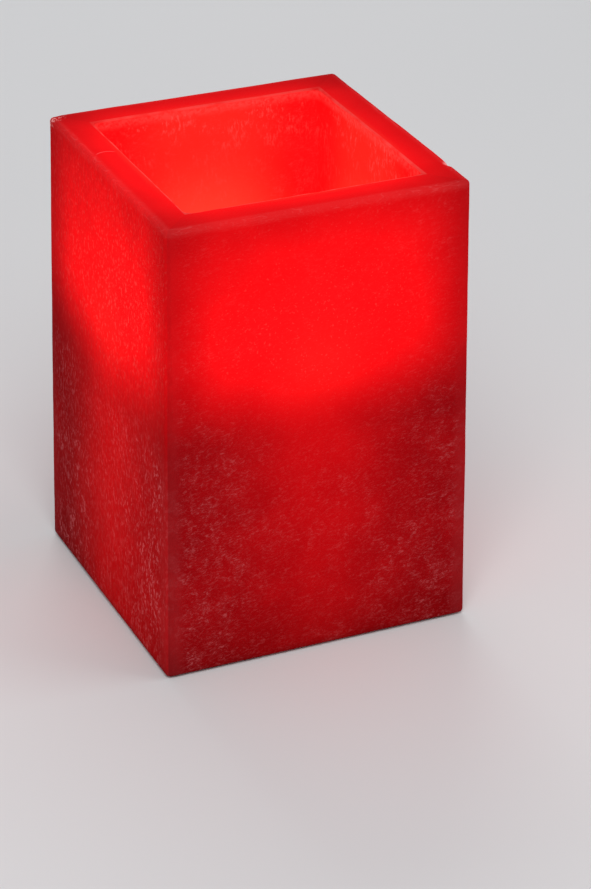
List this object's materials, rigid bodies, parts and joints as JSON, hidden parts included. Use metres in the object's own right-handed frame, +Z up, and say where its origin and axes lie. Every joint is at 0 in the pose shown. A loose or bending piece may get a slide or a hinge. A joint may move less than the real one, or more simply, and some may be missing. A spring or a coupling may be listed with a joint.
{
  "type": "flameless led candle",
  "caption": "Square red wax pillar candle with a deep open well, a glowing flame-shaped bulb on its floor and a battery module in its base.",
  "frame": {"origin": "centre of the footprint, on the surface the candle stands on", "axes": "+Z up out of the well; +X along the batteries and the switch's travel; +Y from the batteries towards the switch"},
  "size_m": [0.103, 0.103, 0.15],
  "materials": {
    "wax": "cast wax with a mottled pale bloom, lit from inside above the well's floor",
    "bulb_plastic": "frosted translucent plastic",
    "wick": "dark thread",
    "white_plastic": "moulded, fine texture",
    "hot_melt": "milky translucent glue",
    "led_epoxy": "clear cast epoxy",
    "nickel": "nickel-plated steel",
    "black_plastic": "black",
    "red_wire": "red insulation",
    "cell_jacket": "printed steel can",
    "board": "green solder mask",
    "resistor": "lacquered",
    "foot_rubber": "matt"
  },
  "bodies": {
    "candle": {"wax_body": "wax", "flame_bulb": "bulb_plastic", "wick_thread": "wick", "led_holder": "white_plastic", "base_tray": "white_plastic", "module_cover": "white_plastic", "holder_glue_ring": "hot_melt", "glue_bead_1": "hot_melt", "glue_bead_2": "hot_melt", "glue_bead_3": "hot_melt", "glue_bead_4": "hot_melt", "led": "led_epoxy", "led_lead_anode": "nickel", "led_lead_cathode": "nickel", "contact_negative": "nickel", "contact_bridge_left": "nickel", "contact_bridge_right": "nickel", "contact_positive": "nickel", "contact_spring_1": "nickel", "contact_spring_2": "nickel", "contact_spring_3": "nickel", "switch_case": "nickel", "crystal": "nickel", "cover_screw_1": "nickel", "cover_screw_2": "nickel", "cover_screw_3": "nickel", "cover_screw_4": "nickel", "board_screw_1": "nickel", "board_screw_2": "nickel", "sleeve_positive": "black_plastic", "sleeve_negative": "black_plastic", "timer_chip": "black_plastic", "capacitor": "black_plastic", "wire_battery_negative": "black_plastic", "wire_led_negative": "black_plastic", "wire_battery_positive": "red_wire", "wire_led_positive": "red_wire", "battery_cell_1": "cell_jacket", "battery_cell_2": "cell_jacket", "battery_cell_3": "cell_jacket", "circuit_board": "board", "resistor": "resistor", "rubber_foot_1": "foot_rubber", "rubber_foot_2": "foot_rubber", "rubber_foot_3": "foot_rubber", "rubber_foot_4": "foot_rubber"},
    "switch_button": {"switch_slider": "black_plastic"},
    "door": {"battery_door": "white_plastic"}
  },
  "joints": [
    {"name": "switch_slide", "type": "slide", "parent": "candle", "child": "switch_button", "axis": [1, 0, 0], "range_m": [0, 0.004]},
    {"name": "door_hinge", "type": "hinge", "parent": "candle", "child": "door", "pos_m": [0, -0.0331, 0.0025], "axis": [-1, 0, 0], "range_deg": [0, 95]}
  ]
}
